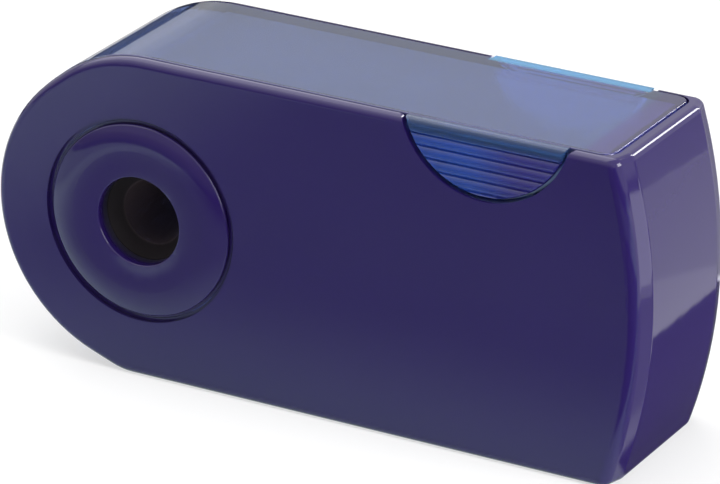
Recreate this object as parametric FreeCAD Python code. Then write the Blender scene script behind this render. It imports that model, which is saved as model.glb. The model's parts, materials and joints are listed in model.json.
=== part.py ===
"""Pocket pencil sharpener: an opaque sleeve with a shavings tub that swings up out of it."""

import FreeCAD, Part
import math
import os

V = FreeCAD.Vector

# Sizes in millimetres, angles in degrees. Every piece is drawn about the swing axis, which runs along Y
# through the pencil hole, with X towards the end wall and Z up. The finished pieces are then moved so
# that the origin lies on the table under the middle of the sleeve.

# Sleeve
sleeve_depth = 22.7        # across the outer faces of the two cheeks
round_end_radius = 18.95   # round end of the cheeks
round_end_back = 0.22      # round end's centre behind the swing axis
round_end_low = 0.21       # round end's centre below the swing axis
rim_lift = 0.9             # rim above the round end's highest point
base_lift = 0.34           # round end's lowest point above the flat underside
swing_radius = 63.8        # outer face of the end wall, concentric with the swing axis
cheek_wall = 1.0
floor_wall = 1.8
end_wall = 1.4
slope_angle = 129.0        # where the straight slope before the flat rim runs onto the round end
nose_radius = 17.0         # rounding between the slope and the flat rim
heel_angle = 250.0         # where the straight heel leaves the round end
heel_run = 1.4             # length of the soft corner between heel and underside, each way
outer_rounding = 0.95      # outer edges of the cheeks and of the end wall
corner_radius = 1.5        # rounding between a cheek and the facet beside the end wall
facet_tilt = 15.0          # facet from the end wall's face
facet_reach = 3.2          # facet's crease on the end wall from the cheek's outer face
crease_radius = 1.6
floor_lip = 1.0            # floor's thickness at its free edge under the drum

# Thumb notch in the rim of both cheeks
notch_reach = 44.0         # centre of the notch from the swing axis
notch_radius = 10.7
notch_rise = 2.7           # centre of the notch above the rim
notch_corner = 0.8         # rounding where the notch meets the rim

# Shavings tub
side_gap = 0.2             # tub to cheek, each side
end_gap = 0.35             # tub to end wall
floor_gap = 0.3            # tub to floor
drum_gap = 0.4             # drum to the floor's free edge
roof_rise = 0.05           # roof above the rim
drum_rise = 0.05           # drum's radius beyond the cheeks' round end
tub_wall = 1.6
roof_wall = 1.6
tub_corner = 1.6           # upright corners at the tub's end
tub_edge_rounding = 0.2    # outer edges along the cheeks and the end wall

# Ribbed finger grips of the tub, standing in the notches
grip_gap = 0.4             # grip to the notch all round
grip_recess = 0.05         # grip's face inside the cheek's outer face
grip_crown = 0.7           # rounding of the grip's top edge
grip_edge_rounding = 0.5
grip_bar = 1.7             # plain bar above the ribs
rib_pitch = 1.39
rib_depth = 0.4            # grooves between the ribs

# Stops of the swing: a nub on each cheek in an arc groove of the tub's side
swing_travel = 160.0
stop_radius = 15.2
stop_angle = 270.0
nub_radius = 0.8
stop_depth = 0.6           # nub's engagement in the groove
stop_gap = 0.3

# Hubs, the two trunnions of the swing
disc_radius = 11.68        # visible disc
groove_width = 0.76        # dark groove round the disc
bearing_step = 0.32        # bearing beyond the visible disc
bearing_land = 0.4         # bearing's length in the cheek
running_gap = 0.05
crown_radius = 8.6         # ring where the disc stands highest
crown_rise = 0.6           # disc above the cheek's outer face
rim_drop = 0.1             # disc's edge below the cheek's outer face
disc_edge_rounding = 0.3
mouth_radius = 5.36        # lip of the pencil mouth
lip_rise = 0.25            # lip above the cheek's outer face
lip_rounding = 0.2
hub_web = 2.0              # hub's wall between lip and sharpener block
neck_step = 1.05           # bearing beyond the neck that enters the tub's wall
seat_gap = 0.05
hook_wall = 1.2
hook_reach = 1.2           # hook ring behind the tub's wall
hook_lip = 0.5
hook_count = 3
hook_sweep = 40.0

# Sharpener block, blade and screw, drawn with the blade on top and turned to blade_angle at the end
blade_angle = 38.0         # from +X towards +Z
block_open_side = 5.8      # block beside the cutting edge, on the side the shavings leave
block_blade_side = 7.2     # block beside the cutting edge, on the blade's side
block_under = 5.8          # block below the pencil's axis
pocket_gap = 0.05
cone_radius = 3.9          # start of the pencil cone
tip_radius = 0.35
lead_in = 1.5              # funnel before the cone
mouth_step = 0.1           # funnel's start inside the lip
tip_gap = 1.25             # cone's tip to the rear hub
blade_bite = 0.25          # cutting edge inside the cone
blade_width = 6.8
blade_thickness = 0.6
blade_bevel = 1.5
blade_setback = 0.3        # blade behind the block's front
exit_start = 0.3           # shavings' slope from the cutting edge
exit_drop = 2.4
screw_offset = 4.0         # screw from the cutting edge
screw_radius = 1.1
screw_gap = 0.05
screw_play = 0.2           # blade's hole round the screw
screw_length = 4.6
screw_end_room = 0.4
head_radius = 2.1
head_height = 0.9
head_rounding = 0.3
screw_slot_width = 0.55
screw_slot_depth = 0.45

# Sizes that follow from the ones above
half_depth = sleeve_depth / 2
round_centre = V(-round_end_back, 0, -round_end_low)
rim_height = round_end_radius - round_end_low + rim_lift
base_drop = round_end_radius + round_end_low + base_lift
pivot_x = (round_end_radius + round_end_back - swing_radius) / 2
cavity_half = half_depth - cheek_wall
cavity_floor = floor_wall - base_drop
cavity_radius = swing_radius - end_wall
tub_half = cavity_half - side_gap
tub_inner_half = tub_half - tub_wall
tub_radius = cavity_radius - end_gap
roof_height = rim_height + roof_rise
tub_bottom = cavity_floor + floor_gap
drum_radius = round_end_radius + drum_rise
drum_clearance_radius = drum_radius + drum_gap
bearing_radius = disc_radius + bearing_step
bearing_bore = bearing_radius + running_gap
groove_radius = disc_radius + groove_width
groove_depth = cheek_wall - bearing_land
neck_radius = bearing_radius - neck_step
block_front = hub_web - lip_rise - half_depth
cone_start = block_front + lead_in
cone_end = tub_inner_half - tip_gap
cone_slope = (cone_radius - tip_radius) / (cone_end - cone_start)
cone_angle = math.degrees(math.atan(cone_slope))
past = 2 * swing_radius    # reach of cutting tools past the pieces they cut


def side_point(radius, angle, centre=V(0, 0, 0)):
    """Point in the side view, at an angle from +X towards +Z."""
    turn = math.radians(angle)
    return centre + V(radius * math.cos(turn), 0, radius * math.sin(turn))


def line(start, end):
    return Part.LineSegment(start, end).toShape()


def arc(start, middle, end):
    return Part.Arc(start, middle, end).toShape()


def plate(edges, low, high):
    """Solid between two depths whose side view is the closed run of edges."""
    face = Part.Face(Part.Wire(edges))
    face.translate(V(0, low, 0))
    return face.extrude(V(0, high - low, 0))


def rod(radius, low, high, centre=V(0, 0, 0)):
    return Part.makeCylinder(radius, high - low, centre + V(0, low, 0), V(0, 1, 0))


def rounded_drum(radius, half, rounding):
    """Drum about the swing axis with both rims rounded."""
    drum = rod(radius, -half, half)
    rims = [e for e in drum.Edges if e.Curve.TypeId == "Part::GeomCircle"]
    return drum.makeFillet(rounding, rims)


def block(x_low, x_high, y_low, y_high, z_low, z_high):
    return Part.makeBox(x_high - x_low, y_high - y_low, z_high - z_low, V(x_low, y_low, z_low))


def ring_sector(inner, outer, low, high, start, sweep):
    """Part of a flat ring about the swing axis."""
    middle = start + sweep / 2
    end = start + sweep
    edges = [
        arc(side_point(outer, start), side_point(outer, middle), side_point(outer, end)),
        line(side_point(outer, end), side_point(inner, end)),
        arc(side_point(inner, end), side_point(inner, middle), side_point(inner, start)),
        line(side_point(inner, start), side_point(outer, start)),
    ]
    return plate(edges, low, high)


def mirrored(shape):
    """The same shape on the rear side."""
    return shape.mirror(V(0, 0, 0), V(0, 1, 0))


def nose(radius, roof, end_centre):
    """From a round end up to a flat top: the slope's low end, slope and rounding, the rounding's top."""
    tilt = math.radians(slope_angle - 90)
    slope = V(math.cos(tilt), 0, math.sin(tilt))
    slope_low = side_point(radius, slope_angle, end_centre)
    peak = slope_low + slope * ((roof - slope_low.z) / slope.z)
    reach = nose_radius * math.tan(tilt / 2)
    slope_high = peak - slope * reach
    top = peak + V(reach, 0, 0)
    middle = side_point(nose_radius, (90 + slope_angle) / 2, top - V(0, 0, nose_radius))
    return slope_low, [line(slope_low, slope_high), arc(slope_high, middle, top)], top


def on_arc(radius, height):
    """Point at a height on a circle about the swing axis, on the end wall's side."""
    return V(math.sqrt(radius ** 2 - height ** 2), 0, height)


def sleeve_outline():
    """Side view of the sleeve: nose, flat rim, open end, flat underside, straight heel, round end."""
    slope_low, nose_edges, rim_start = nose(round_end_radius, rim_height, round_centre)
    turn = math.radians(270 - heel_angle)
    heel_start = side_point(round_end_radius, heel_angle, round_centre)
    slope = V(math.cos(turn), 0, -math.sin(turn))
    corner = heel_start + slope * ((heel_start.z + base_drop) / math.sin(turn))
    heel_end = corner - slope * heel_run
    base_start = corner + V(heel_run, 0, 0)
    heel_radius = heel_run / math.tan(turn / 2)
    heel_middle = side_point(heel_radius, (270 + heel_angle) / 2, base_start + V(0, 0, heel_radius))
    rim_end = V(past, 0, rim_height)
    base_end = V(past, 0, -base_drop)
    return nose_edges + [
        line(rim_start, rim_end),
        line(rim_end, base_end),
        line(base_end, base_start),
        arc(base_start, heel_middle, heel_end),
        line(heel_end, heel_start),
        arc(heel_start, side_point(round_end_radius, 180, round_centre), slope_low),
    ]


def plan_point(radius, angle, centre):
    """Point in the plan view, at an angle from +X towards the rear."""
    turn = math.radians(angle)
    return centre + V(radius * math.cos(turn), radius * math.sin(turn), 0)


def end_rounding():
    """Body of revolution that takes the cheeks round into the end wall: arc, facet, soft crease."""
    crease_centre = V(swing_radius - crease_radius, half_depth - facet_reach, 0)
    crease_start = plan_point(crease_radius, 0, crease_centre)
    crease_middle = plan_point(crease_radius, facet_tilt / 2, crease_centre)
    crease_end = plan_point(crease_radius, facet_tilt, crease_centre)
    facet_top = half_depth - corner_radius + corner_radius * math.sin(math.radians(facet_tilt))
    facet_lean = (facet_top - crease_end.y) * math.tan(math.radians(facet_tilt))
    facet_end = V(crease_end.x - facet_lean, facet_top, 0)
    corner_centre = plan_point(-corner_radius, facet_tilt, facet_end)
    corner_middle = plan_point(corner_radius, (90 + facet_tilt) / 2, corner_centre)
    corner_end = plan_point(corner_radius, 90, corner_centre)

    def front(point):
        return V(point.x, -point.y, 0)

    axis = V(0, half_depth, 0)
    edges = [
        line(axis, corner_end),
        arc(corner_end, corner_middle, facet_end),
        line(facet_end, crease_end),
        arc(crease_end, crease_middle, crease_start),
        line(crease_start, front(crease_start)),
        arc(front(crease_start), front(crease_middle), front(crease_end)),
        line(front(crease_end), front(facet_end)),
        arc(front(facet_end), front(corner_middle), front(corner_end)),
        line(front(corner_end), front(axis)),
        line(front(axis), axis),
    ]
    return Part.Face(Part.Wire(edges)).revolve(V(0, 0, 0), V(0, 1, 0), 360)


def middle_of(edge):
    return edge.valueAt((edge.FirstParameter + edge.LastParameter) / 2)


def radius_of(edge):
    """Distance of an edge's middle from the swing axis."""
    middle = middle_of(edge)
    return math.hypot(middle.x, middle.z)


def lies_at_depth(edge, depth):
    """Whether an edge runs at one depth, on the front or the rear side."""
    depths = [middle_of(edge).y] + [vertex.Y for vertex in edge.Vertexes]
    return all(abs(abs(y) - depth) < 1e-6 for y in depths)


def lies_at_height(edge, height):
    return all(abs(vertex.Z - height) < 1e-6 for vertex in edge.Vertexes)


def sleeve_shell():
    """Outer form of the sleeve with its rounded edges, still solid."""
    body = plate(sleeve_outline(), -past, past).common(end_rounding())
    seam = swing_radius - facet_reach
    outline = [e for e in body.Edges if lies_at_depth(e, half_depth) and radius_of(e) < seam]
    return body.makeFillet(outer_rounding, outline)


def notch_outline():
    """Side view of the thumb notch: round bottom, rounded corners at the rim, open top."""
    centre = V(notch_reach, 0, rim_height + notch_rise)
    spread = math.sqrt((notch_radius + notch_corner) ** 2 - (notch_rise + notch_corner) ** 2)
    left_centre = V(notch_reach - spread, 0, rim_height - notch_corner)
    left_start = left_centre + V(0, 0, notch_corner)
    left_turn = math.degrees(math.atan2(notch_rise + notch_corner, spread))
    left_middle = side_point(notch_corner, (90 + left_turn) / 2, left_centre)
    left_end = side_point(notch_corner, left_turn, left_centre)
    left_top = left_start + V(0, 0, notch_rise)

    def right(point):
        return V(2 * notch_reach - point.x, 0, point.z)

    return [
        line(left_top, left_start),
        arc(left_start, left_middle, left_end),
        arc(left_end, side_point(notch_radius, 270, centre), right(left_end)),
        arc(right(left_end), right(left_middle), right(left_start)),
        line(right(left_start), right(left_top)),
        line(right(left_top), left_top),
    ]


def cavity():
    """Space inside the sleeve: the tub's bay, the drum's bay and the open end under the drum."""
    bay = rounded_drum(cavity_radius, cavity_half, tub_corner + end_gap)
    bay = bay.cut(block(-past, past, -past, past, -past, cavity_floor))
    drum_bay = rod(drum_clearance_radius, -cavity_half, cavity_half)
    open_from = on_arc(drum_clearance_radius, floor_lip - base_drop).x
    under = block(-past, open_from, -cavity_half, cavity_half, -past, 0)
    return bay.fuse([drum_bay, under])


def sleeve():
    shell = sleeve_shell().cut(cavity())
    notch = plate(notch_outline(), -past, past)
    bores = rod(bearing_bore, -past, past)
    groove = rod(groove_radius, -past, groove_depth - half_depth)
    nub_centre = side_point(stop_radius, stop_angle)
    nub = rod(nub_radius, -cavity_half - bearing_land, stop_depth - tub_half, nub_centre)
    shell = shell.cut([notch, bores, groove, mirrored(groove)])
    return shell.fuse([nub, mirrored(nub)]).removeSplitter()


def tub_outline():
    """Side view of the tub: nose, flat roof, open end, open underside, drum."""
    slope_low, nose_edges, roof_start = nose(drum_radius, roof_height, V(0, 0, 0))
    roof_end = V(past, 0, roof_height)
    bottom_end = V(past, 0, tub_bottom)
    lip = on_arc(drum_radius, tub_bottom)
    return nose_edges + [
        line(roof_start, roof_end),
        line(roof_end, bottom_end),
        line(bottom_end, lip),
        arc(lip, side_point(drum_radius, 180), slope_low),
    ]


def tub_chamber():
    """Hollow of the tub: the drum's inside and the shavings space, open at the bottom."""
    drum = rod(drum_radius - tub_wall, -tub_inner_half, tub_inner_half)
    ceiling = roof_height - roof_wall
    lip = on_arc(drum_radius, tub_bottom).x - tub_wall / 2
    upper = block(0, past, -tub_inner_half, tub_inner_half, 0, ceiling)
    lower = block(lip, past, -tub_inner_half, tub_inner_half, -past, 0)
    bay = rod(tub_radius - tub_wall, -tub_inner_half, tub_inner_half)
    return upper.fuse(lower).common(bay).fuse(drum)


def grip_profile(face, lowest):
    """Section of the front grip: round bar at the roof's edge, then round ribs with grooves between."""
    back = -tub_inner_half
    groove = face + rib_depth
    crown_start = V(0, face + grip_crown, roof_height)
    crown_centre = crown_start - V(0, 0, grip_crown)
    crown_middle = crown_centre + V(0, -1, 1) * (grip_crown / math.sqrt(2))
    crown_end = V(0, face, roof_height - grip_crown)
    foot_centre = V(0, groove, roof_height - grip_bar + rib_depth)
    foot_start = foot_centre - V(0, rib_depth, 0)
    foot_middle = foot_centre - V(0, 1, 1) * (rib_depth / math.sqrt(2))
    foot_end = foot_centre - V(0, 0, rib_depth)
    edges = [
        line(V(0, back, roof_height), crown_start),
        arc(crown_start, crown_middle, crown_end),
        line(crown_end, foot_start),
        arc(foot_start, foot_middle, foot_end),
    ]
    top = foot_end
    while top.z > lowest:
        bottom = top - V(0, 0, rib_pitch)
        edges.append(arc(top, (top + bottom) / 2 - V(0, rib_depth, 0), bottom))
        top = bottom
    corners = [top, V(0, back, top.z), V(0, back, roof_height)]
    edges += [line(a, b) for a, b in zip(corners, corners[1:])]
    return Part.Face(Part.Wire(edges))


def grip():
    """Front finger grip: the ribbed section within a round pad that follows the notch."""
    centre = V(notch_reach, 0, rim_height + notch_rise)
    face = grip_recess - half_depth
    radius = notch_radius - grip_gap
    pad = rod(radius, face, -tub_inner_half, centre)
    pad = pad.makeFillet(grip_edge_rounding, [e for e in pad.Edges if lies_at_depth(e, -face)])
    ribs = grip_profile(face, centre.z - radius).extrude(V(2 * radius, 0, 0))
    ribs.translate(V(notch_reach - radius, 0, 0))
    return pad.common(ribs)


def stop_groove():
    """Arc groove in the tub's front side in which the cheek's nub travels."""
    reach = nub_radius + stop_gap
    low = -tub_half
    high = low + stop_depth + stop_gap
    last = stop_angle - swing_travel
    run = ring_sector(stop_radius - reach, stop_radius + reach, low, high, last, swing_travel)
    ends = [rod(reach, low, high, side_point(stop_radius, angle)) for angle in (stop_angle, last)]
    return run.fuse(ends)


def shavings_tub():
    body = plate(tub_outline(), -past, past).common(rounded_drum(tub_radius, tub_half, tub_corner))
    seam = tub_radius - tub_corner
    sides = [e for e in body.Edges if lies_at_depth(e, tub_half) and radius_of(e) < seam - tub_edge_rounding]
    sides = [e for e in sides if not lies_at_height(e, tub_bottom)]
    end = [e for e in body.Edges if lies_at_height(e, roof_height) and radius_of(e) > seam]
    body = body.makeFillet(tub_edge_rounding, sides + end)
    body = body.cut(tub_chamber())
    holes = rod(neck_radius + seat_gap, -past, past)
    body = body.cut([holes, stop_groove(), mirrored(stop_groove())])
    front_grip = grip().cut(tub_chamber())
    return body.fuse([front_grip, mirrored(front_grip)]).removeSplitter()


def crown_arc(end_radius, fall):
    """Arc of a hub's face that falls from its crown to a given radius, level at the crown, with its ends."""
    reach = end_radius - crown_radius
    radius = (reach ** 2 + fall ** 2) / (2 * fall)
    sweep = math.asin(reach / radius)
    top = -half_depth - crown_rise
    start = V(crown_radius, top, 0)
    middle = V(crown_radius + radius * math.sin(sweep / 2), top + radius * (1 - math.cos(sweep / 2)), 0)
    end = V(end_radius, top + fall, 0)
    return arc(start, middle, end), start, end


def hub(bored):
    """Front hub: doughnut face, bearing, neck through the tub's wall and a ring of snap hooks."""
    outer_arc, crown, rim = crown_arc(disc_radius, crown_rise + rim_drop)
    inner_arc, crown, lip = crown_arc(mouth_radius, crown_rise - lip_rise)
    hook_end = hook_reach - tub_inner_half
    steps = [
        rim,
        V(disc_radius, groove_depth - half_depth, 0),
        V(bearing_radius, groove_depth - half_depth, 0),
        V(bearing_radius, -tub_half, 0),
        V(neck_radius, -tub_half, 0),
        V(neck_radius, hook_end, 0),
        V(neck_radius - hook_wall, hook_end, 0),
        V(neck_radius - hook_wall, -tub_inner_half, 0),
    ]
    if bored:
        steps += [V(mouth_radius, -tub_inner_half, 0), lip]
    else:
        steps += [V(0, -tub_inner_half, 0), V(0, lip.y, 0), lip]
    edges = [line(a, b) for a, b in zip(steps, steps[1:])]
    face = Part.Face(Part.Wire([outer_arc] + edges + [inner_arc]))
    body = face.revolve(V(0, 0, 0), V(0, 1, 0), 360)
    rim_edge = [e for e in body.Edges if lies_at_depth(e, -rim.y)]
    body = body.makeFillet(disc_edge_rounding, rim_edge)
    if bored:
        body = body.makeFillet(lip_rounding, [e for e in body.Edges if lies_at_depth(e, -lip.y)])
    root = neck_radius - hook_wall / 2
    tip = neck_radius + hook_lip
    starts = [number * 360 / hook_count for number in range(hook_count)]
    hooks = [ring_sector(root, tip, -tub_inner_half, hook_end, start, hook_sweep) for start in starts]
    return body.fuse(hooks)


def turned(shape):
    """From the blade on top to the blade's real direction."""
    result = shape.copy()
    result.rotate(V(0, 0, 0), V(0, -1, 0), blade_angle - 90)
    return result


def edge_height(depth):
    """Cutting edge above the pencil's axis, at a depth along Y."""
    return cone_radius - cone_slope * (depth - cone_start) - blade_bite


def on_seat(shape):
    """From a level seat through the axis to the blade's sloping seat."""
    result = shape.copy()
    result.rotate(V(0, 0, 0), V(1, 0, 0), -cone_angle)
    result.translate(V(0, 0, edge_height(0)))
    return result


def along_seat(depth):
    """Distance along the sloping seat of a depth along Y."""
    return depth / math.cos(math.radians(cone_angle))


def seat_prism(corners, low, high):
    """Prism along the sloping seat, from its cross-section across the blade and above the seat."""
    points = [V(x, low, z) for x, z in corners]
    face = Part.Face(Part.makePolygon(points + points[:1]))
    return on_seat(face.extrude(V(0, high - low, 0)))


def screw_point(height):
    """Point of the screw's axis above the level seat, half way along the blade."""
    return V(screw_offset, along_seat(block_front + blade_setback + cone_end) / 2, height)


def seat_rod(radius, low, high):
    """Rod square to the seat, on the screw's axis."""
    return on_seat(Part.makeCylinder(radius, high - low, screw_point(low), V(0, 0, 1)))


def pocket(top):
    """Room for one end of the block in the front hub."""
    across = (-block_open_side - pocket_gap, block_blade_side + pocket_gap)
    return turned(block(*across, block_front, 0, -block_under - pocket_gap, top))


def pencil_hub():
    blade_top = edge_height(block_front) + blade_thickness / math.cos(math.radians(cone_angle))
    return hub(True).cut(pocket(blade_top + pocket_gap)).removeSplitter()


def rear_hub():
    seat_top = edge_height(tub_inner_half)
    blank = mirrored(hub(False))
    return blank.cut(mirrored(pocket(seat_top + pocket_gap))).removeSplitter()


def sharpener_block():
    """Wedge with the pencil cone, the sloping blade seat and the slope that sheds the shavings."""
    body = block(-block_open_side, block_blade_side, block_front, -block_front, -block_under, past)
    above = on_seat(block(-past, past, -past, past, 0, 2 * past))
    funnel = Part.makeCone(mouth_radius - mouth_step, cone_radius, lead_in, V(0, block_front, 0), V(0, 1, 0))
    cone = Part.makeCone(cone_radius, tip_radius, cone_end - cone_start, V(0, cone_start, 0), V(0, 1, 0))
    far = -block_open_side - exit_start
    slope = [(-exit_start, 0), (far, -exit_drop), (far, exit_drop), (-exit_start, exit_drop)]
    shed = seat_prism(slope, along_seat(cone_start), along_seat(cone_end))
    thread = seat_rod(screw_radius + screw_gap, -screw_length - screw_end_room, past)
    return turned(body.cut([above, funnel, cone, shed, thread]))


def sharpener_blade():
    """Flat blade with one ground bevel, its edge along the pencil cone."""
    section = [(0, 0), (blade_width, 0), (blade_width, blade_thickness), (blade_bevel, blade_thickness)]
    blank = seat_prism(section, along_seat(block_front + blade_setback), along_seat(cone_end))
    hole = seat_rod(screw_radius + screw_play, -past, past)
    return turned(blank.cut(hole))


def blade_screw():
    """Slotted screw whose head seats on the blade."""
    shank = seat_rod(screw_radius, -screw_length, blade_thickness)
    head = Part.makeCylinder(head_radius, head_height)
    head = head.makeFillet(head_rounding, [e for e in head.Edges if lies_at_height(e, head_height)])
    slot_half = screw_slot_width / 2
    head = head.cut(block(-past, past, -slot_half, slot_half, head_height - screw_slot_depth, past))
    head.translate(screw_point(blade_thickness))
    return turned(shank.fuse(on_seat(head)))


pieces = {
    "sleeve": sleeve,
    "shavings_tub": shavings_tub,
    "pencil_hub": pencil_hub,
    "rear_hub": rear_hub,
    "sharpener_block": sharpener_block,
    "sharpener_blade": sharpener_blade,
    "blade_screw": blade_screw,
}

os.makedirs("parts", exist_ok=True)
for name, make in pieces.items():
    shape = make()
    shape.translate(V(pivot_x, 0, base_drop))
    print(name, shape.isValid(), len(shape.Solids), round(shape.Volume, 2))
    shape.exportStep("parts/" + name + ".step")
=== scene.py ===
"""Looks of the pocket pencil sharpener: moulded plastics, steel, studio floor, light and camera."""

import json
import math

import bpy
from mathutils import Matrix, Vector

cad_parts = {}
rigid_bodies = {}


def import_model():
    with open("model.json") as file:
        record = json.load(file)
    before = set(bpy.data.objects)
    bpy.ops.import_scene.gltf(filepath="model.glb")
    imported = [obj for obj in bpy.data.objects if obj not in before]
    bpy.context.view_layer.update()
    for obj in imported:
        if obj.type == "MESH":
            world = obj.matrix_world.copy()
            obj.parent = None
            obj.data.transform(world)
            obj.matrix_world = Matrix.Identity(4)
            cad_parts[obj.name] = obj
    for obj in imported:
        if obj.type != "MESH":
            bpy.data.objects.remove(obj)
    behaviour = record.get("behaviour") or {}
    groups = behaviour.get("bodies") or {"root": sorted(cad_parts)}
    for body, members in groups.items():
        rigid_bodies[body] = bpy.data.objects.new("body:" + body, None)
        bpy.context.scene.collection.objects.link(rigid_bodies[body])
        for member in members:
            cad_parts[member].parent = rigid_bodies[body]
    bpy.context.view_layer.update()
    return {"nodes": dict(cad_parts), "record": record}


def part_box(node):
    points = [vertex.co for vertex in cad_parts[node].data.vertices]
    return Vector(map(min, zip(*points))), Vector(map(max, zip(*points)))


for leftover in list(bpy.data.objects):
    bpy.data.objects.remove(leftover)

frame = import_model()


def fade(place, before, after):
    """Start and end of a change of finish: so far before a place and so far after it."""
    return (place - before, place + after)


def opaque(colour):
    return (*colour, 1.0)


def tinted(colour, factor):
    return tuple(channel * factor for channel in colour)


# Sizes of the sharpener that its finishes follow, in metres
CHEEK_WALL = 0.001
SIDE_GAP = 0.0002        # tub to cheek
TUB_WALL = 0.0016
GRIP_BAR = 0.0017        # bar above the ribs
NOTCH_RADIUS = 0.0107
NOTCH_ALONG = 0.044      # notch from the swing axis
NOTCH_RISE = 0.0027      # notch's centre above the rim
DRUM_RADIUS = 0.019
MOUTH_RADIUS = 0.00536
LIP = 0.0116             # mouth's lip from the middle plane
CONE_RADIUS = 0.0039
CONE_START = -0.0081
END_INSIDE = 0.0624      # end wall's inner face from the swing axis
TUB_END = 0.06205        # tub's end from the swing axis
FLOOR_INSIDE = 0.0018

# Places worked out from the frame
SWING_AXIS = frame["record"]["behaviour"]["joints"][0]["pos_m"]
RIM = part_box("sleeve")[1][2]
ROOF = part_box("shavings_tub")[1][2]
CHEEK_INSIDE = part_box("sleeve")[1][1] - CHEEK_WALL
TUB_SIDE = CHEEK_INSIDE - SIDE_GAP
TUB_SIDE_INSIDE = TUB_SIDE - TUB_WALL
CEILING = ROOF - TUB_WALL
BAR_FOOT = ROOF - GRIP_BAR
NOTCH_CENTRE = (SWING_AXIS[0] + NOTCH_ALONG, 0.0, RIM + NOTCH_RISE)

# Where the finishes of the sleeve, the hubs and the block change
CHEEK_FADE = fade(CHEEK_INSIDE, 0.0002, 0.0003)
END_FADE = fade(END_INSIDE, 0.0, 0.0004)
FLOOR_FADE = fade(FLOOR_INSIDE, 0.0004, 0.0)
MOUTH_FADE = fade(MOUTH_RADIUS, 0.0, 0.0002)
LIP_FADE = fade(LIP, 0.0018, -0.0001)
CONE_FADE = fade(CONE_RADIUS, 0.0, 0.0003)
CONE_START_FADE = fade(CONE_START, 0.0003, 0.0001)

# Where the finishes of the tub change
DULL_SIDE_FADE = fade(TUB_SIDE_INSIDE, 0.0, 0.0004)
DULL_CEILING_FADE = fade(CEILING, 0.0, 0.0004)
DULL_END_FADE = fade(TUB_END - TUB_WALL, 0.0, 0.0004)
DULL_DRUM_FADE = fade(DRUM_RADIUS - TUB_WALL, 0.0, 0.0004)
BAY_FADE = fade(DRUM_RADIUS / 10, 0.0, 0.0004)
NOTCH_FADE = fade(NOTCH_RADIUS, 0.0004, 0.0)
GRIP_FADE = fade(TUB_SIDE, 0.0001, 0.0003)
# Painted shade on the grip's ribs towards the right
GRIP_SHADE_FADE = fade(NOTCH_CENTRE[0], 0.003, 0.005)
BAR_FADE = fade(BAR_FOOT, 0.0004, 0.0008)
NOTCH_INNER_FADE = fade(TUB_SIDE_INSIDE, 0.0004, -0.0002)
NOTCH_INNER_TOP_FADE = fade(CEILING, 0.0014, -0.0004)
SEAM_FADE = fade(TUB_SIDE, 0.0003, -0.0002)
SEAM_FOOT_FADE = fade(ROOF, 0.001, -0.0008)
REAR_SIDE_FADE = fade(TUB_SIDE, 0.0012, -0.0008)
REAR_FOOT_FADE = fade(ROOF, 0.0012, -0.0008)
END_SEEN_FADE = fade(TUB_END, 0.0036, -0.0026)
NOSE_FADE = fade(SWING_AXIS[0], DRUM_RADIUS / 2, DRUM_RADIUS / 2)

# Colours, linear
SLEEVE_VIOLET = (0.0190, 0.0090, 0.090)
HUB_VIOLET = (0.0180, 0.0078, 0.083)
TUB_BLUE = (0.24, 0.345, 0.75)
# Painted violet at the tub's end, standing in for the sleeve's violet end wall seen through the roof
TUB_END_SEEN_VIOLET = (0.23, 0.19, 0.70)
BAR_BLUE = (0.035, 0.085, 0.24)
# Painted light: light milky blue for the tub's inner face in the notches
NOTCH_LIGHT_BLUE = (0.55, 0.8, 1.0)
# Painted light: cyan for the rear grip's bar, lit through from behind
REAR_BACKLIGHT_CYAN = (0.10, 0.46, 0.80)
# Painted shade for the gap where the tub meets the cheeks
SEAM_SHADE_DARK = (0.03, 0.03, 0.12)
GRIP_BLUE = (0.018, 0.070, 0.39)
# Painted shade: darker violet for the right side of the grip's ribs
GRIP_SHADE_VIOLET = (0.035, 0.020, 0.19)
# Painted shade that darkens the bore of the hub's mouth
MOUTH_SHADE = (0.010, 0.008, 0.020)
BLOCK_BLACK = (0.014, 0.011, 0.013)
# Painted light: lighter grey for the inside of the dim cone
CONE_LIT_GREY = (0.050, 0.037, 0.043)
BLADE_GREY = (0.56, 0.57, 0.58)
SCREW_GREY = (0.50, 0.50, 0.51)
FLOOR_WHITE = (0.93, 0.93, 0.93)
# Grey of cards seen only in gloss, for painted reflections of shade
FLAG_GREY = (0.022, 0.022, 0.028)
# Glow of a gloss-only card, for a painted highlight
SHINE_WHITE = (2.2, 2.2, 2.3)
# Cyan of a gloss-only card, for a painted cool sheen
COOL_WHITE = (0.0, 1.0, 0.95)
WHITE = (1.0, 1.0, 1.0)

PLASTIC_IOR = 1.5

# Studio and camera, lengths in metres
FLOOR_HALF = 2.0
PAPER_GLOW = 0.6
CARD_GAP = 0.0001
CAMERA_PLACE = Vector((0.266305, -0.49083, 0.25307))
CAMERA_AIM = Vector((0.000312, 0.0, 0.017628))
CAMERA_ROLL = math.radians(0.8327)
CAMERA_NEAREST = 0.01
LENS_MM = 264.656
SENSOR_MM = 36.0


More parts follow.
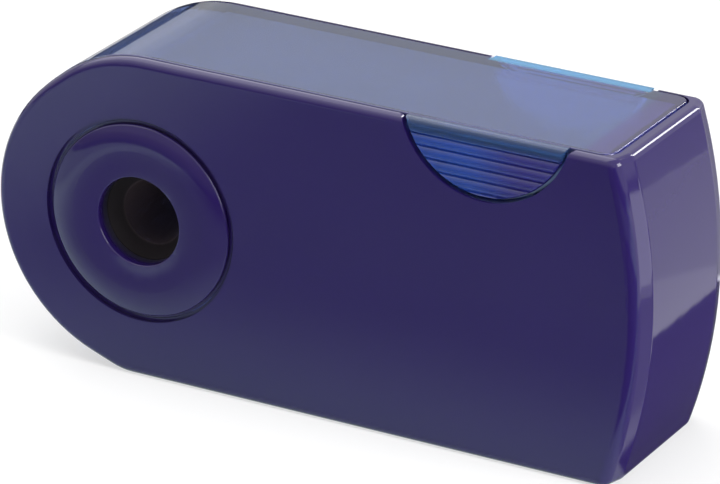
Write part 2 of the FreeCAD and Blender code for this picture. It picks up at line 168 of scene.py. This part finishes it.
class Wire:
    """A socket of a material's node tree. Sums and products of wires add Math nodes."""

    def __init__(self, tree, socket=None):
        self.tree = tree
        self.socket = socket

    def make(self, kind, settings=None, inputs=None, output=0):
        """Adds a node: first its settings, then the values or links of its sockets."""
        node = self.tree.nodes.new(kind)
        for name, value in (settings or {}).items():
            setattr(node, name, value)
        for name, value in (inputs or {}).items():
            if isinstance(value, Wire):
                self.tree.links.new(value.socket, node.inputs[name])
            else:
                node.inputs[name].default_value = value
        return Wire(self.tree, node.outputs[output] if node.outputs else None)

    def math(self, operation, *values):
        return self.make("ShaderNodeMath", {"operation": operation}, dict(enumerate(values)))

    def __add__(self, other):
        return self.math("ADD", self, other)

    def __sub__(self, other):
        return self.math("SUBTRACT", self, other)

    def __rsub__(self, other):
        return self.math("SUBTRACT", other, self)

    def __mul__(self, other):
        return self.math("MULTIPLY", self, other)

    def __truediv__(self, other):
        return self.math("DIVIDE", self, other)

    __radd__ = __add__
    __rmul__ = __mul__

    def size(self):
        return self.math("ABSOLUTE", self)

    def root(self):
        return self.math("SQRT", self)

    def larger(self, other):
        return self.math("MAXIMUM", self, other)

    def step(self, low, high):
        """0 below low, 1 above high, smooth between."""
        settings = {"interpolation_type": "SMOOTHSTEP"}
        inputs = {"Value": self, "From Min": low, "From Max": high}
        return self.make("ShaderNodeMapRange", settings, inputs)

    def between(self, dark, light):
        """Colour that goes from dark to light as this value goes from 0 to 1."""
        ends = [colour if isinstance(colour, Wire) else opaque(colour) for colour in (dark, light)]
        inputs = {0: self, 6: ends[0], 7: ends[1]}
        return self.make("ShaderNodeMix", {"data_type": "RGBA"}, inputs, output=2)

    def shades(self, colour, darkest, lightest):
        """Shades of a colour: times darkest where this value is 0, times lightest where it is 1."""
        return self.between(tinted(colour, darkest), tinted(colour, lightest))


class Finish:
    """A new material, its shaders and the patterns that drive them."""

    def __init__(self, name):
        self.material = bpy.data.materials.new(name)
        self.material.use_nodes = True
        tree = self.material.node_tree
        tree.nodes.clear()
        self.start = Wire(tree)
        self.place = self.start.make("ShaderNodeTexCoord", output=3)

    def along(self, axis):
        """One coordinate of the piece, in metres: 0, 1 or 2 for X, Y or Z."""
        return self.start.make("ShaderNodeSeparateXYZ", None, {0: self.place}, output=axis)

    def stretched(self, scale, turn=(0.0, 0.0, 0.0)):
        """The piece's coordinates, turned and scaled for a pattern that runs one way."""
        inputs = {"Vector": self.place, "Scale": scale, "Rotation": turn}
        return self.start.make("ShaderNodeMapping", None, inputs)

    def noise(self, scale, detail, where=None):
        """Soft noise between 0 and 1 with scale cells to the metre."""
        inputs = {"Vector": where or self.place, "Scale": scale, "Detail": detail}
        return self.start.make("ShaderNodeTexNoise", {"normalize": True}, inputs)

    def relief(self, height, depth):
        """Normal of a surface with this height pattern, whose full height is depth metres."""
        inputs = {"Height": height, "Distance": depth, "Strength": 1.0}
        return self.start.make("ShaderNodeBump", None, inputs)

    def reach(self, centre):
        """Distance from a line along Y through the centre."""
        across = self.along(0) - centre[0]
        up = self.along(2) - centre[2]
        return (across * across + up * up).root()

    def shader(self, **sockets):
        """Plastic, steel or paper, with its sockets named by underscores for blanks."""
        inputs = {name.replace("_", " "): value for name, value in sockets.items()}
        return self.start.make("ShaderNodeBsdfPrincipled", None, inputs)

    def glow(self, colour):
        return self.start.make("ShaderNodeEmission", None, {"Color": opaque(colour), "Strength": 1.0})

    def blend(self, mask, first, second):
        return self.start.make("ShaderNodeMixShader", None, {0: mask, 1: first, 2: second})

    def done(self, surface):
        self.start.make("ShaderNodeOutputMaterial", None, {"Surface": surface})
        return self.material


def moulded_violet(name, colour, shaded_mouth=False):
    """Gloss moulded plastic: flow clouds, finger smudges, fine scratches, satin inside, and where asked a
    painted shade that darkens the mouth's bore.
    """
    finish = Finish(name)
    depth = finish.along(1).size()
    reach = finish.reach(SWING_AXIS)
    inside = 1 - depth.step(*CHEEK_FADE)
    inside = inside * (1 - reach.step(*END_FADE)) * finish.along(2).step(*FLOOR_FADE)
    clouds = finish.noise(scale=60.0, detail=3.0)
    smudge = finish.noise(scale=140.0, detail=4.0).step(0.5, 0.78)
    streaks = finish.stretched(scale=(0.12, 1.0, 1.0), turn=(0.0, 0.5, 0.0))
    scratch = finish.noise(scale=900.0, detail=2.0, where=streaks).step(0.70, 0.74)
    speck = finish.noise(scale=5200.0, detail=1.0)
    wave = finish.noise(scale=330.0, detail=1.0)
    body = clouds.shades(colour, 0.93, 1.07)
    rough = 0.055 + smudge * 0.035 + scratch * 0.02 + inside * 0.1
    if shaded_mouth:
        # Painted shade: the bore behind the mouth's lip is painted near black and made rough
        mouth = (1 - reach.step(*MOUTH_FADE)) * (1 - depth.step(*LIP_FADE))
        body = mouth.between(body, MOUTH_SHADE)
        rough = rough + mouth * 0.5
    gloss = finish.shader(
        Base_Color=body,
        Roughness=rough,
        IOR=PLASTIC_IOR,
        Normal=finish.relief(wave * 0.8 + speck * 0.06 + scratch * 0.05, depth=0.000012),
    )
    return finish.done(gloss)


def tub_inside(finish):
    """1 on the dull faces inside the tub, 0 on its gloss outside."""
    reach = finish.reach(SWING_AXIS)
    walls = 1 - finish.along(1).size().step(*DULL_SIDE_FADE)
    ceiling = 1 - finish.along(2).step(*DULL_CEILING_FADE)
    end = 1 - reach.step(*DULL_END_FADE)
    drum = 1 - reach.step(*DULL_DRUM_FADE)
    slant = finish.along(0) - SWING_AXIS[0] + (finish.along(2) - SWING_AXIS[2]) / 4
    return walls * ceiling * end * drum.larger(slant.step(*BAY_FADE))


def translucent_blue(name):
    """Clear tinted plastic of the tub, with painted violet at its end and a painted shade where it meets
    the cheeks.

    In the notches its inner face is painted a light milky blue, a painted light for light that comes
    through the rear grip. There are finger grips of milky ribs below a bar; the ribs are painted a darker
    violet towards the right, a painted shade, and the bar is painted cyan at the rear edge, for light
    coming through it from behind.
    """
    finish = Finish(name)
    along, across, height = finish.along(0), finish.along(1), finish.along(2)
    aside = across.size()
    clouds = finish.noise(scale=70.0, detail=3.0)
    smudge = finish.noise(scale=150.0, detail=4.0).step(0.52, 0.8)
    wave = finish.noise(scale=300.0, detail=1.0)
    clear = {
        "Roughness": 0.04 + smudge * 0.04 + tub_inside(finish) * 0.17,
        "IOR": PLASTIC_IOR,
        "Normal": finish.relief(wave, depth=0.00001),
    }
    milky = {**clear, "Roughness": 0.16 + smudge * 0.06}

    # Painted shade: the tub's blue is painted darker at its round end
    at_nose = 1 - along.step(*NOSE_FADE)
    at_end = finish.reach(SWING_AXIS).step(*END_SEEN_FADE)
    tint = at_nose.between(clouds.shades(TUB_BLUE, 0.95, 1.05), tinted(TUB_BLUE, 0.7))
    # Painted violet at the tub's end, for the sleeve's end wall seen through the roof
    tint = at_end.between(tint, TUB_END_SEEN_VIOLET)
    wall = finish.shader(Base_Color=tint, Transmission_Weight=0.92, **clear)
    # Painted light: the rear grip's bar is painted cyan along its top, for light coming through it from
    # behind
    rear_top = across.step(*REAR_SIDE_FADE) * height.step(*REAR_FOOT_FADE)
    barred = rear_top.between(BAR_BLUE, REAR_BACKLIGHT_CYAN)
    bar = finish.shader(Base_Color=barred, Transmission_Weight=0.6, **clear)
    # Painted shade: the ribs turn a darker violet towards the right, with a little random tone
    shade_share = clouds * 0.2 + along.step(*GRIP_SHADE_FADE) * 0.8
    ribbed = shade_share.between(GRIP_BLUE, GRIP_SHADE_VIOLET)
    ribs = finish.shader(Base_Color=ribbed, Transmission_Weight=0.4, **milky)
    # Painted light: the tub's inner face in the notches is painted light milky blue, for light coming
    # through the rear grip
    notch_light = finish.shader(Base_Color=opaque(NOTCH_LIGHT_BLUE), Transmission_Weight=0.15, **milky)
    # Painted shade: a dark line along the tub where it meets the cheeks, for the shade in the gap
    gap_shade = finish.shader(Base_Color=opaque(SEAM_SHADE_DARK), **milky)

    at_notch = 1 - finish.reach(NOTCH_CENTRE).step(*NOTCH_FADE)
    outside = aside.step(*GRIP_FADE)
    seam = aside.step(*SEAM_FADE) * height.step(*SEAM_FOOT_FADE)
    notch_inner_face = aside.step(*NOTCH_INNER_FADE) * (1 - outside) * (1 - height.step(*NOTCH_INNER_TOP_FADE))
    wall = finish.blend(seam, wall, gap_shade)
    wall = finish.blend(at_notch * notch_inner_face, wall, notch_light)
    grip = finish.blend(height.step(*BAR_FADE), ribs, bar)
    return finish.done(finish.blend(at_notch * outside.larger(rear_top), wall, grip))


def black_block(name):
    """Dull black moulding with a fine eroded grain, its cone painted a lighter grey as painted light in
    the dim cone.
    """
    finish = Finish(name)
    # Painted light: the cone inside the block is painted lighter grey than the block
    in_cone = 1 - finish.reach(SWING_AXIS).step(*CONE_FADE)
    in_cone = in_cone * finish.along(1).step(*CONE_START_FADE)
    grain = finish.noise(scale=4200.0, detail=3.0)
    patch = finish.noise(scale=240.0, detail=3.0)
    dull = finish.shader(
        Base_Color=in_cone.between(patch.shades(BLOCK_BLACK, 0.8, 1.3), CONE_LIT_GREY),
        Roughness=0.6 + patch * 0.12,
        IOR=PLASTIC_IOR,
        Specular_IOR_Level=0.12,
        Normal=finish.relief(grain, depth=0.00003),
    )
    return finish.done(dull)


def ground_steel(name, colour):
    """Steel with fine grinding lines along the blade."""
    finish = Finish(name)
    lines = finish.noise(scale=6000.0, detail=2.0, where=finish.stretched(scale=(1.0, 0.03, 1.0)))
    cloud = finish.noise(scale=500.0, detail=3.0)
    steel = finish.shader(
        Base_Color=lines.shades(colour, 0.8, 1.12),
        Metallic=1.0,
        Roughness=0.2 + cloud * 0.12,
        Normal=finish.relief(lines, depth=0.000006),
    )
    return finish.done(steel)


def seen_rays(start):
    """1 for rays of the camera, of gloss and through clear plastic, 0 for the light's own bounces."""
    outputs = start.make("ShaderNodeLightPath").socket.node.outputs
    names = ("Is Camera Ray", "Is Glossy Ray", "Is Transmission Ray")
    camera, glossy, through = (Wire(start.tree, outputs[name]) for name in names)
    return camera.larger(glossy.larger(through))


def sheet(name, corners, material):
    """Flat sheet of the studio, no part of the object."""
    mesh = bpy.data.meshes.new(name)
    mesh.from_pydata(corners, [], [range(len(corners))])
    mesh.materials.append(material)
    holder = bpy.data.objects.new(name, mesh)
    bpy.context.scene.collection.objects.link(holder)
    return holder


def oblong(west, east, south, north):
    return [(west, south), (east, south), (east, north), (west, north)]


def pale_floor():
    """Plain pale floor far wider than the view, whose paper glows a little so that shadows stay light."""
    finish = Finish("floor_paper")
    paper = finish.shader(Base_Color=opaque(FLOOR_WHITE), Roughness=0.9, Specular_IOR_Level=0.0)
    lit = seen_rays(finish.start) * PAPER_GLOW
    material = finish.done(finish.blend(lit, paper, finish.glow(WHITE)))
    corners = oblong(-FLOOR_HALF, FLOOR_HALF, -FLOOR_HALF, FLOOR_HALF)
    sheet("floor", [(x, y, 0.0) for x, y in corners], material)


def gloss_card(finish, corners, mask, colour):
    """Card that shows only in the gloss of the sharpener, as strongly as the mask says: a painted
    reflection.
    """
    clear = finish.start.make("ShaderNodeBsdfTransparent")
    material = finish.done(finish.blend(mask, clear, finish.glow(colour)))
    card = sheet(material.name, corners, material)
    card.visible_camera = False
    card.visible_diffuse = False
    card.visible_transmission = False
    card.visible_shadow = False


def floor_card(layer, name, corners, soft, strength, colour=FLAG_GREY):
    """Card on the floor with soft edges inside its corners, which run anticlockwise."""
    finish = Finish(name)
    east, north = finish.along(0), finish.along(1)
    mask = strength
    for (ax, ay), (bx, by) in zip(corners, corners[1:] + corners[:1]):
        length = math.hypot(bx - ax, by - ay)
        inside = (north - ay) * ((bx - ax) / length) - (east - ax) * ((by - ay) / length)
        mask = inside.step(0.0, soft) * mask
    gloss_card(finish, [(x, y, CARD_GAP * layer) for x, y in corners], mask, colour)


def far_wall(name, west, east, depth, dark, dark_top, soft, haze, haze_top):
    """Standing card far from the sharpener, seen only in its gloss as a painted reflection: dark at its
    foot, hazy above.
    """
    finish = Finish(name)
    height = finish.along(2)
    foot = (1 - height.step(dark_top - soft, dark_top + soft)) * dark
    mask = foot.larger((1 - height.step(dark_top, haze_top)) * haze)
    corners = [(x, depth, z) for x, z in oblong(west, east, 0.0, haze_top)]
    gloss_card(finish, corners, mask, FLAG_GREY)


def softbox(name, place, aim, width, height, power, diffuse=True, gloss=True):
    """Rectangular lamp, which may show only in the gloss or only light the plain colour."""
    lamp = bpy.data.lights.new(name, "AREA")
    lamp.shape = "RECTANGLE"
    lamp.size = width
    lamp.size_y = height
    lamp.energy = power
    holder = bpy.data.objects.new(name, lamp)
    holder.location = place
    holder.rotation_mode = "QUATERNION"
    holder.rotation_quaternion = (Vector(aim) - Vector(place)).to_track_quat("-Z", "Y")
    holder.visible_diffuse = diffuse
    holder.visible_glossy = gloss
    bpy.context.scene.collection.objects.link(holder)


def studio_air(fill):
    """White surroundings for the camera, gloss and clear plastic, and a softer fill on everything else."""
    world = bpy.data.worlds.new("studio")
    bpy.context.scene.world = world
    world.use_nodes = True
    tree = world.node_tree
    tree.nodes.clear()
    start = Wire(tree)
    inputs = {"Color": opaque(WHITE), "Strength": fill + seen_rays(start) * (1 - fill)}
    sky = start.make("ShaderNodeBackground", None, inputs)
    start.make("ShaderNodeOutputWorld", None, {"Surface": sky})


def photo_camera():
    """Long lens at the photograph's height and side."""
    camera = bpy.data.cameras.new("camera")
    camera.lens = LENS_MM
    camera.sensor_width = SENSOR_MM
    camera.clip_start = CAMERA_NEAREST
    holder = bpy.data.objects.new("camera", camera)
    level = (CAMERA_AIM - CAMERA_PLACE).to_track_quat("-Z", "Y").to_matrix()
    turn = level @ Matrix.Rotation(CAMERA_ROLL, 3, "Z")
    holder.matrix_world = Matrix.Translation(CAMERA_PLACE) @ turn.to_4x4()
    bpy.context.scene.collection.objects.link(holder)
    bpy.context.scene.camera = holder


def dress(node, material):
    for slot in frame["nodes"][node].material_slots:
        slot.material = material


dress("sleeve", moulded_violet("sleeve_gloss", SLEEVE_VIOLET))
# The pencil hub gets painted shade in the bore of its mouth
dress("pencil_hub", moulded_violet("hub_soiled", HUB_VIOLET, shaded_mouth=True))
dress("rear_hub", moulded_violet("hub_gloss", HUB_VIOLET))
dress("shavings_tub", translucent_blue("tub_clear"))
dress("sharpener_block", black_block("block_black"))
dress("sharpener_blade", ground_steel("blade_ground", BLADE_GREY))
dress("blade_screw", ground_steel("screw_turned", SCREW_GREY))

pale_floor()

# Cards on the floor, seen only in the sharpener's gloss as painted reflections: grey ones paint shade,
# cool_front a cool sheen and shine_strip a highlight. Lowest first: name, corners, soft edge, strength
# and, where it isn't grey, colour
end_corners = [(0.03, -0.0086), (0.0413, -0.0086), (0.057, 0.011), (0.057, 0.05), (0.03, 0.05)]
strip_corners = [(0.0413, -0.0086), (0.05, -0.018), (0.1, -0.018), (0.1, 0.018), (0.086, 0.044)]
crease_corners = [(0.0415, -0.008), (0.156, 0.088), (0.129, 0.113)]
shine_corners = [(0.105, 0.01), (0.6, 0.2), (0.6, 0.45), (0.095, 0.06)]
cards = (
    # Painted sheen: a faint cyan glow seen only in gloss
    ("cool_front", oblong(-1.9, 1.0, -1.95, -0.005), 0.01, 0.22, COOL_WHITE),
    ("flag_front", oblong(-0.083, 0.10, -0.30, -0.005), 0.04, 0.66),
    ("flag_west", oblong(-0.4, -0.085, -0.3, -0.005), 0.02, 0.3),
    ("flag_upper", oblong(-0.07, 0.5, -0.5, -0.05), 0.08, 0.7),
    ("flag_horizon", oblong(-1.9, 1.9, -1.95, -0.16), 0.06, 0.75),
    ("flag_end", end_corners, 0.001, 0.9),
    ("flag_rear", oblong(0.03, 0.057, 0.05, 0.25), 0.002, 0.62),
    ("flag_corner", oblong(0.036, 0.14, -0.12, -0.018), 0.006, 0.85),
    ("flag_strip", strip_corners, 0.002, 0.5),
    ("flag_crease", crease_corners, 0.003, 0.6),
    ("flag_patch", oblong(0.057, 0.2, 0.05, 0.182), 0.004, 0.2),
    ("flag_far", oblong(0.057, 1.5, 0.182, 1.5), 0.006, 0.5),
    ("flag_nose", oblong(-0.136, -0.07, 0.05, 0.25), 0.01, 0.45),
    ("flag_back", oblong(-1.9, -0.136, 0.07, 1.9), 0.01, 0.97),
    # Painted highlight: a glowing card seen only in gloss
    ("shine_strip", shine_corners, 0.004, 1.0, SHINE_WHITE),
)
for layer, card in enumerate(cards, start=1):
    floor_card(layer, *card)
# Standing cards seen only in gloss: painted reflections of dim surroundings far off
far_wall("back_wall", west=-1.9, east=-0.3, depth=1.9,
         dark=1.0, dark_top=0.168, soft=0.004, haze=0.3, haze_top=0.6)
far_wall("front_wall", west=-6.0, east=1.0, depth=-1.95,
         dark=0.7, dark_top=0.5, soft=0.4, haze=0.4, haze_top=1.4)

studio_air(fill=0.28)
softbox("key", (-0.33, 0.2, 0.62), (0.0, 0.0, 0.0), width=0.75, height=0.8, power=3.7)
softbox("key_edge", (-0.59, -0.23, 0.62), (-0.26, -0.43, 0.0), width=0.35, height=0.8, power=0.8)
softbox("key_fade", (-0.82, -0.61, 0.62), (-0.49, -0.81, 0.0), width=0.55, height=0.8, power=0.5)
softbox("side", (0.55, -0.05, 0.3), (0.02, 0.0, 0.02), width=0.35, height=0.35, power=3.4)
softbox("top", (0.0, -0.15, 0.73), (0.0, 0.0, 0.02), width=0.5, height=0.5, power=2.2, gloss=False)
softbox("strip", (0.2, 0.5, 0.33), (0.03, 0.0, 0.03), width=0.1, height=0.35, power=1.4, diffuse=False)
photo_camera()

bpy.context.scene.view_settings.view_transform = "Standard"
